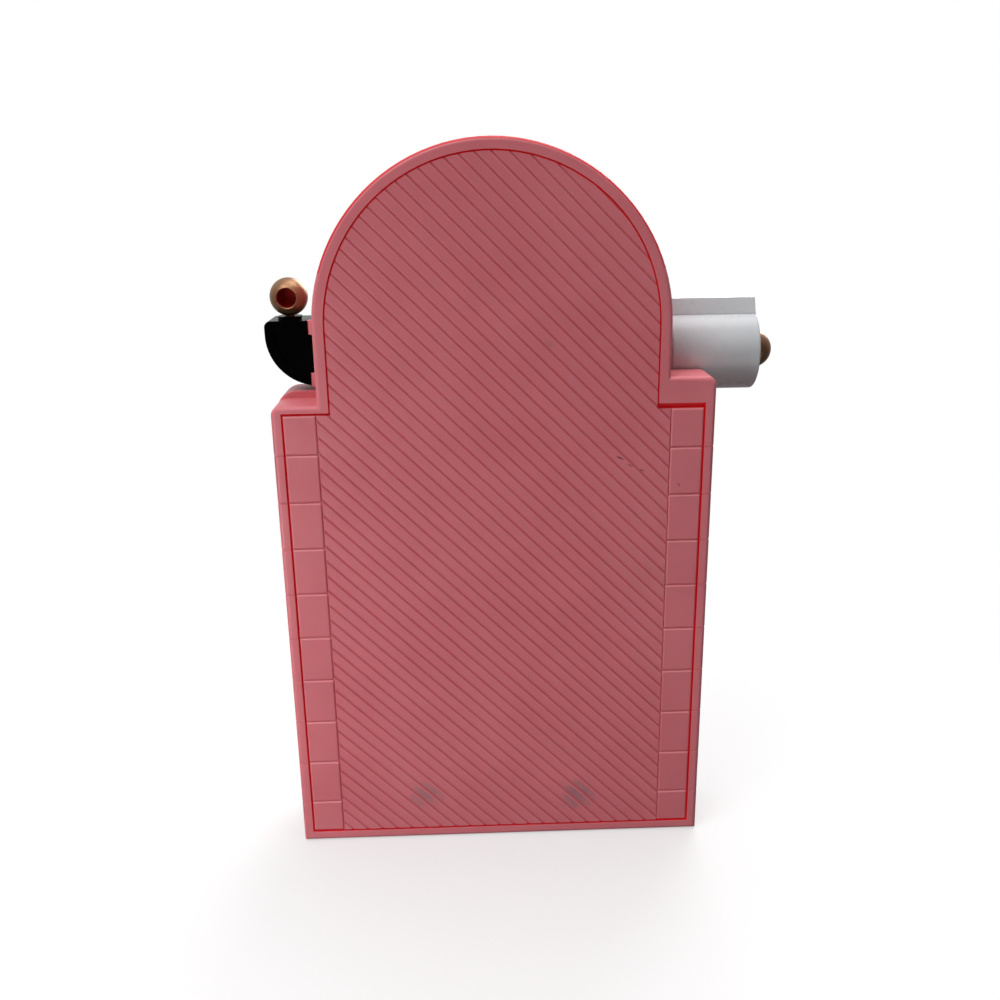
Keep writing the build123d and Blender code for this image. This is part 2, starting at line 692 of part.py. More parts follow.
with BuildPart() as lamp_arm:
    with BuildSketch(upright(ARM_BACK)) as profile:
        with BuildLine():
            Polyline(
                (ARM_INNER, ARM_FOOT), (ARM_INNER, ARM_TOP), (ARM_OUTER, ARM_TOP), (ARM_OUTER, ARM_SPRING)
            )
            RadiusArc((ARM_OUTER, ARM_SPRING), (ARM_INNER, ARM_FOOT), ARM_ROUND)
        make_face()
        fillet(shoulder_corner(profile, ARM_OUTER), ARM_CORNER)
    extrude(amount=ARM_BACK - ARM_FRONT)
    # Sunk panel in the back face, inside an even border
    with BuildSketch(upright(ARM_BACK)):
        with BuildLine():
            Polyline(
                (ARM_INNER + 3.5, ARM_FOOT + ARM_BORDER + 0.7),
                (ARM_INNER + 3.5, ARM_TOP - ARM_BORDER),
                (ARM_OUTER - ARM_BORDER, ARM_TOP - ARM_BORDER),
                (ARM_OUTER - ARM_BORDER, ARM_SPRING),
            )
            RadiusArc(
                (ARM_OUTER - ARM_BORDER, ARM_SPRING),
                (ARM_INNER + 3.5, ARM_FOOT + ARM_BORDER + 0.7),
                ARM_ROUND - ARM_BORDER,
            )
        make_face()
    extrude(amount=0.8, mode=Mode.SUBTRACT)
    with BuildSketch(Plane.XY.offset(ARM_TOP - 1)):
        with Locations(GLOBE_AT[:2]):
            Circle(COLLAR_RADIUS)
    extrude(amount=COLLAR_TOP - ARM_TOP + 1)
    with BuildSketch(Plane.XY.offset(267)):
        with Locations(GLOBE_AT[:2]):
            Circle(STEM_HOLE)
    extrude(amount=20, mode=Mode.SUBTRACT)
    for low, high in ((240, 250), (267.6, 280)):
        with BuildSketch(Plane.XY.offset(low)):
            with Locations(ARM_AXIS):
                Circle(ARM_LUG + 0.4)
                Rectangle(8, 2 * ARM_LUG + 0.8, align=(Align.MAX, Align.CENTER))
        extrude(amount=high - low, mode=Mode.SUBTRACT)
    with BuildSketch(Plane.XY.offset(250)):
        with Locations(ARM_AXIS):
            Circle(2.4)
    extrude(amount=17.6)
    with BuildSketch(Plane.XY.offset(240)):
        with Locations(ARM_AXIS):
            Circle(ARM_PIN_HOLE)
    extrude(amount=40, mode=Mode.SUBTRACT)
save(lamp_arm, "lamp_arm")

with BuildPart() as lamp_globe:
    with Locations(GLOBE_AT):
        Sphere(GLOBE_RADIUS)
    with BuildSketch(Plane.XY.offset(COLLAR_TOP + 0.3)):
        with Locations(GLOBE_AT[:2]):
            Rectangle(30, 30)
    extrude(amount=-20, mode=Mode.SUBTRACT)
    with BuildSketch(Plane.XY.offset(268)):
        with Locations(GLOBE_AT[:2]):
            Circle(STEM)
    extrude(amount=12)
    # Blind eye in the back of the globe, with a bevelled lip
    lip_y = GLOBE_AT[1] + (GLOBE_RADIUS**2 - (EYE + EYE_BEVEL) ** 2) ** 0.5
    with BuildSketch(upright(GLOBE_AT[1] + GLOBE_RADIUS)):
        with Locations((GLOBE_AT[0], GLOBE_AT[2])):
            Circle(EYE)
    extrude(amount=EYE_DEPTH, mode=Mode.SUBTRACT)
    with BuildSketch(upright(GLOBE_AT[1] + GLOBE_RADIUS)):
        with Locations((GLOBE_AT[0], GLOBE_AT[2])):
            Circle(EYE + EYE_BEVEL)
    extrude(amount=GLOBE_AT[1] + GLOBE_RADIUS - lip_y, mode=Mode.SUBTRACT)
save(lamp_globe, "lamp_globe")

with BuildPart() as lamp_pin:
    with BuildSketch(Plane.XY.offset(arm_lugs[0][0] + 0.6)):
        with Locations(ARM_AXIS):
            Circle(ARM_PIN)
    extrude(amount=ARM_TOP - arm_lugs[0][0] - 1.2)
save(lamp_pin, "lamp_pin")

# --- Drum ---------------------------------------------------------------------------------------

drum_long = DRUM_INNER - DRUM_OUTER

with BuildPart() as drum_case:
    with BuildSketch(sideways(DRUM_OUTER)):
        with Locations(DRUM_AXIS):
            Circle(DRUM_RADIUS)
    extrude(amount=drum_long)
    fillet(drum_case.edges().filter_by(GeomType.CIRCLE), 1.0)
    # Upright lip along the top of the drum, leaning a little to the front
    with BuildSketch(sideways(DRUM_OUTER + 0.2)):
        with BuildLine():
            Polyline(
                (-12.9, 271.0), (-13.2, 273.4), (-16.4, 280.4), (-18.8, 280.4), (-16.6, 271.0), close=True
            )
        make_face()
    extrude(amount=drum_long - 0.4)
    with BuildSketch(sideways(DRUM_OUTER + DRUM_WALL)):
        with Locations(DRUM_AXIS):
            Circle(DRUM_RADIUS - DRUM_WALL)
    extrude(amount=drum_long - 2 * DRUM_WALL, mode=Mode.SUBTRACT)
    with BuildSketch(sideways(DRUM_OUTER)):
        with Locations(DRUM_AXIS):
            Circle(KNOB_RADIUS + 0.15)
    extrude(amount=DRUM_WALL, mode=Mode.SUBTRACT)
    with BuildSketch(sideways(DRUM_INNER - DRUM_WALL)):
        with Locations(DRUM_AXIS):
            Circle(JOURNAL + 0.05)
    extrude(amount=DRUM_WALL, mode=Mode.SUBTRACT)
    # Slot along the drum in front of the lip
    with BuildSketch(Plane.XY.offset(DRUM_AXIS[1])):
        with Locations((DRUM_OUTER + drum_long / 2, -21.2)):
            Rectangle(drum_long - 9, 1.8)
    extrude(amount=DRUM_RADIUS + 2, mode=Mode.SUBTRACT)
    # Foot that stands off the tower wall
    with BuildSketch(sideways(DRUM_INNER)):
        with Locations((DRUM_SCREW_Y, sum(DRUM_SCREWS) / 2)):
            RectangleRounded(11, 22, 2)
        with Locations(DRUM_AXIS):
            Circle(JOURNAL + 0.05, mode=Mode.SUBTRACT)
    extrude(amount=-HEAD_RADIUS - DRUM_INNER)
    with BuildSketch(sideways(-HEAD_RADIUS)):
        with Locations(*[(DRUM_SCREW_Y, z) for z in DRUM_SCREWS]):
            Circle(SCREW + 0.05)
    extrude(amount=-5.5, mode=Mode.SUBTRACT)
save(drum_case, "drum_case")

with BuildPart() as drum_roller:
    with BuildSketch(sideways(DRUM_OUTER + 10.4)):
        with Locations(DRUM_AXIS):
            Circle(9)
    extrude(amount=drum_long - 10.4 - DRUM_WALL - 0.6)
    with BuildSketch(sideways(DRUM_OUTER + 10.4)):
        with Locations(DRUM_AXIS):
            Circle(JOURNAL)
    extrude(amount=drum_long - 10.4 + 1)
    with BuildSketch(sideways(KNOB_X + 5)):
        with Locations(DRUM_AXIS):
            Circle(AXLE)
    extrude(amount=12)
save(drum_roller, "drum_roller")

with BuildPart() as drum_knob:
    with Locations((KNOB_X, *DRUM_AXIS)):
        Sphere(KNOB_RADIUS)
    with BuildSketch(sideways(KNOB_X + 5)):
        with Locations(DRUM_AXIS):
            Circle(AXLE)
    extrude(amount=12, mode=Mode.SUBTRACT)
save(drum_knob, "drum_knob")

with BuildPart() as drum_screws:
    with BuildSketch(sideways(-HEAD_RADIUS + WALL)):
        with Locations(*[(DRUM_SCREW_Y, z) for z in DRUM_SCREWS]):
            Circle(SCREW_HEAD)
    extrude(amount=HEAD_THICK)
    with BuildSketch(sideways(-HEAD_RADIUS - 5)):
        with Locations(*[(DRUM_SCREW_Y, z) for z in DRUM_SCREWS]):
            Circle(SCREW)
    extrude(amount=WALL + 5)
save(drum_screws, "drum_screws")

# --- Latch --------------------------------------------------------------------------------------

with BuildPart() as latch_hook:
    with BuildSketch(sideways(LATCH_INNER - LATCH_THICK)):
        with Locations((LATCH_PIVOT_Y, LATCH_Z)):
            Circle(4)
        with Locations(((LATCH_PIVOT_Y + CATCH_Y) / 2, LATCH_Z + 1)):
            Rectangle(CATCH_Y - LATCH_PIVOT_Y, 6)
        with Locations((CATCH_Y, LATCH_Z)):
            Circle(3.8)
        with Locations((CATCH_Y, LATCH_Z)):
            Circle(CATCH + 0.5, mode=Mode.SUBTRACT)
            Rectangle(2 * CATCH + 1.0, 8, align=(Align.CENTER, Align.MAX), mode=Mode.SUBTRACT)
        with Locations((LATCH_PIVOT_Y, LATCH_Z)):
            Circle(SCREW + 0.05, mode=Mode.SUBTRACT)
    extrude(amount=LATCH_THICK)
save(latch_hook, "latch_hook")

with BuildPart() as latch_screw:
    with BuildSketch(sideways(LATCH_INNER - LATCH_THICK - 0.2 - HEAD_THICK)):
        with Locations((LATCH_PIVOT_Y, LATCH_Z)):
            Circle(SCREW_HEAD)
    extrude(amount=HEAD_THICK)
    with BuildSketch(sideways(LATCH_INNER - LATCH_THICK - 0.2)):
        with Locations((LATCH_PIVOT_Y, LATCH_Z)):
            Circle(SCREW)
    extrude(amount=LATCH_THICK + WALL + 1.5)
save(latch_screw, "latch_screw")
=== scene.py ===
"""A doll's playhouse in moulded plastic, standing shut with its back to the viewer.

The hinged halves, windows, shutters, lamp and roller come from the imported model. This script gives
them broken edges, the pieces a mould can't show at the model's scale, their finishes and a studio.
"""

import json
import math

import bpy

from mathutils import Matrix, Vector

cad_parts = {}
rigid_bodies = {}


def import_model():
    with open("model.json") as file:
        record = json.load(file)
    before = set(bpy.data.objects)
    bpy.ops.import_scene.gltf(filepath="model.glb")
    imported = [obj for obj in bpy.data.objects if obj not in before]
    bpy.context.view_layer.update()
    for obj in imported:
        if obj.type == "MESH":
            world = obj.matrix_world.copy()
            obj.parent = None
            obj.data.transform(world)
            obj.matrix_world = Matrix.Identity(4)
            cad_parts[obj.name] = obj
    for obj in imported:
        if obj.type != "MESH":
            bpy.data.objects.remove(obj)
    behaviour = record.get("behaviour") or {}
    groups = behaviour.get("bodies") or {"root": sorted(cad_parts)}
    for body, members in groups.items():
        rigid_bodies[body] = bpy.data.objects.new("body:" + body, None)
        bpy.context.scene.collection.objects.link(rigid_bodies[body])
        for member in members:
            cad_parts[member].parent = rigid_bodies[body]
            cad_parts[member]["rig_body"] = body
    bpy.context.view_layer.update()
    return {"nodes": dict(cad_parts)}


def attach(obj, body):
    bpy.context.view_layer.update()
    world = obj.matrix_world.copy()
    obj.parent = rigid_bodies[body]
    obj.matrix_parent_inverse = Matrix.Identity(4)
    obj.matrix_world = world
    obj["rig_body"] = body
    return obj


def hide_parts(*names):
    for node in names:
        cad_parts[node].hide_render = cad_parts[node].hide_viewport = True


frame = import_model()
MM = 0.001


# ---------------------------------------------------------------- helpers for meshes

def only(*pieces):
    """Nothing stays selected but these pieces, and the first is the active one."""
    bpy.ops.object.select_all(action="DESELECT")
    for piece in pieces:
        piece.select_set(True)
    bpy.context.view_layer.objects.active = pieces[0]


def edit(*pieces, mode="VERT"):
    only(*pieces)
    bpy.ops.object.mode_set(mode="EDIT")
    bpy.ops.mesh.select_mode(type=mode)


def leave():
    bpy.ops.object.mode_set(mode="OBJECT")


def pick(piece, faces):
    """In edit mode, selects the faces that pass the test, which gets each face of the mesh."""
    bpy.ops.mesh.select_all(action="DESELECT")
    leave()
    for item in (*piece.data.edges, *piece.data.vertices):
        item.select = False
    for face in piece.data.polygons:
        face.select = faces(face)
    bpy.ops.object.mode_set(mode="EDIT")
    bpy.ops.mesh.select_mode(type="FACE")


def settle(piece):
    """Writes the piece's place and size into its mesh, so that its object sits at the origin."""
    only(piece)
    bpy.ops.object.transform_apply(location=True, rotation=True, scale=True)


def modify(piece, kind, **settings):
    """Adds a modifier to the piece and applies it."""
    only(piece)
    added = piece.modifiers.new(kind.title(), kind)
    for name, value in settings.items():
        setattr(added, name, value)
    bpy.ops.object.modifier_apply(modifier=added.name)


def finish_piece(piece, body, material, nodes=(), smooth=30):
    """Smooths the piece, gives it its finish and fixes it to the body that carries it."""
    only(piece)
    bpy.ops.object.shade_smooth_by_angle(angle=math.radians(smooth))
    modify(piece, "WEIGHTED_NORMAL", keep_sharp=True, weight=60)
    piece.data.materials.clear()
    piece.data.materials.append(material)
    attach(piece, body)
    if nodes:
        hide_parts(*nodes)
    return piece


def soften(node, material, edge=0.22, limit=38, segments=2, flat=0.6):
    """A moulding with its sharp corners broken by a small round, as a mould and a polish leave it.

    edge is the round in mm, and faces that meet within flat degrees become one before it is cut.
    """
    source = frame["nodes"][node]
    piece = bpy.data.objects.new(node + "_moulding", source.data.copy())
    bpy.context.scene.collection.objects.link(piece)
    edit(piece)
    bpy.ops.mesh.select_all(action="SELECT")
    bpy.ops.mesh.remove_doubles(threshold=2e-6)
    if flat:
        bpy.ops.mesh.dissolve_limited(angle_limit=math.radians(flat))
    bpy.ops.mesh.customdata_custom_splitnormals_clear()
    leave()
    if edge:
        modify(piece, "BEVEL", width=edge * MM, segments=segments, limit_method="ANGLE",
               angle_limit=math.radians(limit), use_clamp_overlap=False, miter_outer="MITER_SHARP")
    body = source["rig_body"]
    return finish_piece(piece, body, material, (node,))


# ---------------------------------------------------------------- finishes

def linear(colour):
    """The linear value of an sRGB hex colour, such as "e58a90"."""
    parts = [int(colour[i:i + 2], 16) / 255 for i in (0, 2, 4)]
    straight = [p / 12.92 if p <= 0.04045 else ((p + 0.055) / 1.055) ** 2.4 for p in parts]
    return (*straight, 1.0)


def add(tree, kind, inputs=None, **settings):
    """Adds a node to the tree. An input that is a socket is linked, and any other is its value."""
    made = tree.nodes.new(kind)
    for name, value in settings.items():
        setattr(made, name, value)
    for name, value in (inputs or {}).items():
        if isinstance(value, bpy.types.NodeSocket):
            tree.links.new(value, made.inputs[name])
        else:
            made.inputs[name].default_value = value
    return made


def plastic(name, light, dark, rough=(0.38, 0.52), grain=0.5, bump=0.06, specks=0.3, marks=(),
            **shader):
    """A moulded plastic: light and dark are its colour where it is clean and where it is handled.

    rough is its roughness from polished to dull, grain the size in mm of the mould's sparked
    texture, and bump its depth. marks are (centre, half sizes, turn about Y, colour, strength).
    """
    material = bpy.data.materials.new(name)
    material.use_nodes = True
    tree = material.node_tree
    tree.nodes.clear()
    place = add(tree, "ShaderNodeTexCoord").outputs["Object"]
    cloud = add(tree, "ShaderNodeTexNoise", {"Vector": place, "Scale": 1 / (38 * MM), "Detail": 3.0,
                                             "Roughness": 0.55})
    blotch = add(tree, "ShaderNodeMapRange", {"Value": cloud.outputs["Fac"], "From Min": 0.36,
                                              "From Max": 0.66})
    tint = add(tree, "ShaderNodeMix", {"Factor": blotch.outputs["Result"], "A": linear(light),
                                       "B": linear(dark)}, data_type="RGBA")
    colour = tint.outputs["Result"]
    speck_cells = add(tree, "ShaderNodeTexVoronoi", {"Vector": place, "Scale": 1 / (7.5 * MM)})
    speck = add(tree, "ShaderNodeMapRange", {"Value": speck_cells.outputs["Distance"],
                                             "From Min": 0.022, "From Max": 0.04, "To Min": specks,
                                             "To Max": 0.0})
    colour = add(tree, "ShaderNodeMix", {"Factor": speck.outputs["Result"], "A": colour,
                                         "B": linear("6b4a44")}, data_type="RGBA").outputs["Result"]
    for centre, half, turn, stain, strength in marks:
        local = add(tree, "ShaderNodeMapping", {
            "Vector": place, "Location": [c * MM for c in centre],
            "Rotation": (0, math.radians(turn), 0), "Scale": [h * MM for h in half],
        }, vector_type="TEXTURE").outputs["Vector"]
        ragged = add(tree, "ShaderNodeTexNoise", {"Vector": local, "Scale": 2.2, "Detail": 4.0})
        reach = add(tree, "ShaderNodeVectorMath", {0: local}, operation="LENGTH")
        edge = add(tree, "ShaderNodeMath", {0: reach.outputs["Value"],
                                            1: ragged.outputs["Fac"]}, operation="ADD")
        cover = add(tree, "ShaderNodeMapRange", {"Value": edge.outputs["Value"], "From Min": 0.7,
                                                 "From Max": 1.5, "To Min": strength,
                                                 "To Max": 0.0}, interpolation_type="SMOOTHSTEP")
        stained = add(tree, "ShaderNodeMix", {"Factor": cover.outputs["Result"], "A": colour,
                                              "B": linear(stain)}, data_type="RGBA")
        colour = stained.outputs["Result"]
    rub = add(tree, "ShaderNodeTexNoise", {"Vector": place, "Scale": 1 / (9 * MM), "Detail": 5.0,
                                           "Roughness": 0.65})
    dull = add(tree, "ShaderNodeMapRange", {"Value": rub.outputs["Fac"], "From Min": 0.3,
                                            "From Max": 0.7, "To Min": rough[0],
                                            "To Max": rough[1]})
    sparked = add(tree, "ShaderNodeTexNoise", {"Vector": place, "Scale": 1 / (grain * MM),
                                               "Detail": 2.0})
    relief = add(tree, "ShaderNodeBump", {"Height": sparked.outputs["Fac"], "Strength": bump,
                                          "Distance": 0.1 * MM})
    sunk = add(tree, "ShaderNodeBump", {"Height": cloud.outputs["Fac"], "Strength": bump,
                                        "Distance": 1.0 * MM, "Normal": relief.outputs["Normal"]})
    surface = add(tree, "ShaderNodeBsdfPrincipled", {"Base Color": colour,
                                                     "Roughness": dull.outputs["Result"],
                                                     "Normal": sunk.outputs["Normal"], **shader})
    add(tree, "ShaderNodeOutputMaterial", {"Surface": surface.outputs["BSDF"]})
    return material


# An injection-moulded ABS shell: a warm light pink that the light goes a little way into, so that
# its gaps redden a little (their glow is painted, below), with a faint satin from the sparked mould
# and finger dirt where it is carried.
PINK = {"IOR": 1.53, "Specular IOR Level": 0.42, "Subsurface Weight": 0.2,
        "Subsurface Radius": (1.0, 0.25, 0.2), "Subsurface Scale": 1.2 * MM}
pink = plastic("pink_abs_moulded", "ea838b", "e67d86", rough=(0.36, 0.48), **PINK)
# The walls of the gap round the back: a deep red with a faint red emission, a painted glow and
# painted red shade that stand in for the light coming through the plastic.
gap_painted_glow = plastic("pink_abs_gap_painted_glow", "d62a35", "c8202c", rough=(0.4, 0.5), **PINK, **{
    "Emission Color": (1.0, 0.012, 0.02, 1.0), "Emission Strength": 0.12})
# The flanks of the moulded grooves: painted shade, a darker red that stands in for the shade and red
# bounce light down in the grooves.
groove_painted_shade = plastic("pink_abs_groove_painted_shade", "e0717b", "db6974", rough=(0.36, 0.5), **PINK)
# The upper edges of boards and bricks: a paler pink that is a painted highlight where light from
# above catches them, and a little smoother.
edge_painted_highlight = plastic("pink_abs_edge_painted_highlight", "f4979e", "ee9097", rough=(0.34, 0.46), **PINK)
# The back, with the same pink worn by years of standing against walls: two grey rub marks low down,
# a dull patch, three short dark scratches and grime in the bottom corner.
pink_back = plastic("pink_abs_back", "e88089", "e37a83", rough=(0.38, 0.5), marks=(
    ((40.2, 20.4, 25.8), (12, 6, 10), 0, "8f7c80", 0.5),
    ((-40.9, 20.4, 22.9), (12, 6, 12), 0, "85747a", 0.55),
    ((-71, 20.4, 148), (16, 6, 24), 20, "b87a80", 0.14),
    ((-25.3, 20.4, 264.2), (4, 5, 3), 0, "b0787f", 0.4),
    ((-60.0, 20.3, 209.1), (2.6, 2, 0.55), -26, "3a2226", 1.0),
    ((-65.9, 20.3, 204.9), (3.0, 2, 0.6), -34, "3a2226", 1.0),
    ((-69.9, 20.3, 202.8), (2.6, 2, 0.5), -14, "4a2a2e", 1.0),
    ((-89.0, 20.3, 195.0), (1.5, 2, 0.5), -60, "4a2a2e", 0.7),
    ((97.5, 20.4, 3.5), (5, 6, 3), 0, "7a4a48", 0.5),
), **PINK)
# A glossy white ABS, slightly cool, with scuffs that only show as a duller sheen.
white = plastic("white_abs_gloss", "dde0e3", "d6dadd", rough=(0.24, 0.34), grain=0.9, bump=0.02,
                specks=0.15,
                **{"IOR": 1.53, "Subsurface Weight": 0.08,
                   "Subsurface Radius": (1.0, 0.9, 0.8), "Subsurface Scale": 1.0 * MM})
# A gloss black ABS that shows its shape only by its highlights.
black = plastic("black_abs_gloss", "020202", "040404", rough=(0.14, 0.26), grain=0.8, bump=0.02,
                specks=0.06, **{"IOR": 1.53, "Specular IOR Level": 0.05})
# A lilac ABS for the floors and furniture, a little duller than the shell.
lilac = plastic("lilac_abs_moulded", "c9a9dc", "bd9cd2", rough=(0.36, 0.5), **{
    "IOR": 1.53, "Subsurface Weight": 0.12, "Subsurface Radius": (0.9, 0.6, 1.0),
    "Subsurface Scale": 1.2 * MM})
# Vacuum-metallised gold over plastic: a warm tan mirror, blurred, rubbed duller in places.
gold = plastic("gold_metallised_plastic", "ab8262", "9a7152", rough=(0.3, 0.46), grain=0.7,
               bump=0.05, **{"Metallic": 0.85})
# Zinc-plated steel for screws and pins, cool grey with fine turning marks.
steel = plastic("zinc_plated_steel", "b9bcc0", "9fa3a8", rough=(0.22, 0.4), grain=0.3, bump=0.1,
                **{"Metallic": 1.0})
# Silvered foil behind clear styrene: a soft mirror.
foil = plastic("silver_mirror_foil", "dfe3e8", "cfd5dc", rough=(0.05, 0.12), grain=6, bump=0.05,
               **{"Metallic": 1.0})
# Clear polystyrene panes: nearly colourless, with a slight moulding ripple.
clear = plastic("clear_polystyrene", "f4f8fa", "edf3f6", rough=(0.03, 0.07), grain=4, bump=0.04,
                **{"IOR": 1.59, "Transmission Weight": 0.95})
# The bare brown-red moulding inside the globe, which the plating never reached.
bore = plastic("red_abs_bore", "a81c12", "8c140d", rough=(0.5, 0.65),
               **{"IOR": 1.53, "Specular IOR Level": 0.1})
# Soft PVC leaves and petals.
leaf = plastic("green_pvc_leaf", "4f8a48", "3c7439", rough=(0.4, 0.55), grain=0.6, bump=0.1,
               **{"IOR": 1.52})
petal_lilac = plastic("lilac_pvc_petal", "b58ad8", "a478cb", rough=(0.4, 0.55), **{"IOR": 1.52})

# ---------------------------------------------------------------- the back panel

def board_sheet(pitch, reach, count, drop):
    """A closed sheet of boards side by side along X, each running along Y, its faces towards +Z.

    Every board is a shallow crown between V grooves, so that each catches its own line of light.
    """
    bpy.ops.mesh.primitive_grid_add(x_subdivisions=10, y_subdivisions=1, size=1)
    sheet = bpy.context.active_object
    sheet.scale = (pitch, reach, 1)
    settle(sheet)
    across = (0.0, 0.07, 0.13, 0.18, 0.28, 0.45, 0.65, 0.82, 0.88, 0.94, 1.0)
    height = (-1.0, -0.55, -0.2, -0.07, -0.02, 0.0, -0.03, -0.1, -0.24, -0.58, -1.0)
    for vert in sheet.data.vertices:
        column = round((vert.co.x / pitch + 0.5) * 10)
        vert.co.x = (across[column] - 0.5) * pitch
        vert.co.z = height[column] * drop
    modify(sheet, "ARRAY", count=count, use_relative_offset=True,
           relative_offset_displace=(1, 0, 0), use_merge_vertices=True, merge_threshold=1e-5)
    edit(sheet)
    bpy.ops.mesh.select_all(action="SELECT")
    bpy.ops.mesh.extrude_region_move(TRANSFORM_OT_translate={"value": (0, 0, -3 * MM)})
    bpy.ops.transform.resize(value=(1, 1, 0), center_override=(0, 0, -4 * MM))
    bpy.ops.mesh.select_all(action="SELECT")
    bpy.ops.mesh.normals_make_consistent(inside=False)
    leave()
    sheet.location.x = -(count - 1) * pitch / 2
    settle(sheet)
    return sheet


def block(low, high):
    """A box from its lowest to its highest corner, in mm, to be shaped or cut further."""
    bpy.ops.mesh.primitive_cube_add(size=1, location=[(a + b) / 2 * MM for a, b in zip(low, high)])
    made = bpy.context.active_object
    made.scale = [(b - a) * MM for a, b in zip(low, high)]
    settle(made)
    return made


def rod(radius, low, high, axis, across, sides=128):
    """A cylinder of that radius in mm, from low to high along the axis, centred at across."""
    turn = {"X": (0, math.pi / 2, 0), "Y": (math.pi / 2, 0, 0), "Z": (0, 0, 0)}[axis]
    middle = list(across)
    middle.insert("XYZ".index(axis), (low + high) / 2)
    bpy.ops.mesh.primitive_cylinder_add(vertices=sides, radius=radius * MM, rotation=turn,
                                        depth=(high - low) * MM, location=[c * MM for c in middle])
    made = bpy.context.active_object
    settle(made)
    return made


def cut(piece, tool, operation="DIFFERENCE"):
    """Cuts, joins or trims a piece with another, which is then thrown away."""
    modify(piece, "BOOLEAN", object=tool, operation=operation, solver="EXACT")
    bpy.data.objects.remove(tool, do_unlink=True)


def join(*pieces):
    only(*pieces)
    bpy.ops.object.join()
    return pieces[0]


def lathe(points, centre, axis, steps=72):
    """A turned piece: points are (radius, distance along the axis) in mm, both ends on the axis."""
    along = "XYZ".index(axis)
    across = (along + 1) % 3
    spots = []
    for radius, distance in points:
        spot = list(centre)
        spot[across] += radius
        spot[along] += distance
        spots.append(Vector(spot) * MM)
    bpy.ops.mesh.primitive_plane_add(size=MM, location=spots[0])
    made = bpy.context.active_object
    settle(made)
    edit(made)
    bpy.ops.mesh.select_all(action="SELECT")
    bpy.ops.mesh.merge(type="CENTER")
    for before, after in zip(spots, spots[1:]):
        bpy.ops.mesh.extrude_region_move(TRANSFORM_OT_translate={"value": after - before})
    bpy.ops.mesh.select_all(action="SELECT")
    line = [0, 0, 0]
    line[along] = 1
    bpy.ops.mesh.spin(steps=steps, angle=2 * math.pi, center=Vector(centre) * MM, axis=line)
    bpy.ops.mesh.select_all(action="SELECT")
    bpy.ops.mesh.remove_doubles(threshold=2e-6)
    bpy.ops.mesh.normals_make_consistent(inside=False)
    leave()
    return made


def arch_prism(half, foot, shoulder, head, low, high):
    """The house's outline as a prism: a body, a neck and a round head."""
    body = block((-half, low, foot), (half, high, shoulder))
    cut(body, block((-head, low, shoulder - 30), (head, high, HEAD_CENTRE)), "UNION")
    cut(body, rod(head, low, high, "Y", (0, HEAD_CENTRE), 192), "UNION")
    return body


# The back's measures in mm: half widths, heights and the faces of its layers.
BOARD, GROOVE = 5.55, 0.78
COURSE, JOINT = 23.74, 0.15
FIELD_HALF, BRICK_INNER, PANEL_HALF = 83.75, 84.25, 99.85
PANEL_FOOT, PANEL_SHOULDER = 6.05, 232.85
HEAD_RADIUS, HEAD_CENTRE = 77.35, 272.7
BACK_FACE, LAYER_FLOOR = 20.3, 17.9
GLOBE_CENTRE = (97.8, -10.5, 285.2)

siding = board_sheet(BOARD * MM, 0.46, 74, GROOVE * MM)
# The boards lie in the wall: their faces to the back, their run falling away from the lamp side.
siding.rotation_euler = (-math.pi / 2, math.radians(45), 0)
siding.location = (0, BACK_FACE * MM, 0.17)
settle(siding)
cut(siding, arch_prism(FIELD_HALF, PANEL_FOOT, PANEL_SHOULDER, HEAD_RADIUS, LAYER_FLOOR, 20.6),
    "INTERSECT")


def brick_column(side):
    """The bricks down one edge of the back, with rounded edges and a fine open joint between."""
    near, far = sorted((side * BRICK_INNER, side * PANEL_HALF))
    first = block((near, LAYER_FLOOR, PANEL_FOOT), (far, BACK_FACE, COURSE - JOINT))
    middle = block((near, LAYER_FLOOR, COURSE + JOINT), (far, BACK_FACE, 2 * COURSE - JOINT))
    modify(middle, "ARRAY", count=8, use_relative_offset=False, use_constant_offset=True,
           constant_offset_displace=(0, 0, COURSE * MM))
    last = block((near, LAYER_FLOOR, 9 * COURSE + JOINT), (far, BACK_FACE, PANEL_SHOULDER))
    column = join(first, middle, last)
    modify(column, "BEVEL", width=0.9 * MM, segments=3, limit_method="ANGLE")
    return column


base = arch_prism(PANEL_HALF, PANEL_FOOT, PANEL_SHOULDER, HEAD_RADIUS, 17.5, 19.45)
back = join(siding, base, brick_column(1), brick_column(-1))
back.name = "back_panel_boards"
finish_piece(back, "rear_shell", pink_back, ("back_panel",), smooth=40)
back.data.materials.append(gap_painted_glow)
back.data.materials.append(groove_painted_shade)
back.data.materials.append(edge_painted_highlight)
# Gap walls take the painted glow, groove flanks the painted shade, and upward-facing edges the
# painted highlight.
for face in back.data.polygons:  # by the slope of each face: gap walls, groove flanks, upper edges
    if abs(face.normal.y) < 0.3 and face.center.y < 19.6 * MM:
        face.material_index = 1
    elif 0.3 < face.normal.y < 0.93 and abs(face.center.x) < 84 * MM:
        face.material_index = 2
    elif 0.3 < face.normal.y < 0.99 and face.normal.z > 0.05:
        face.material_index = 3


# ---------------------------------------------------------------- lamp and roller

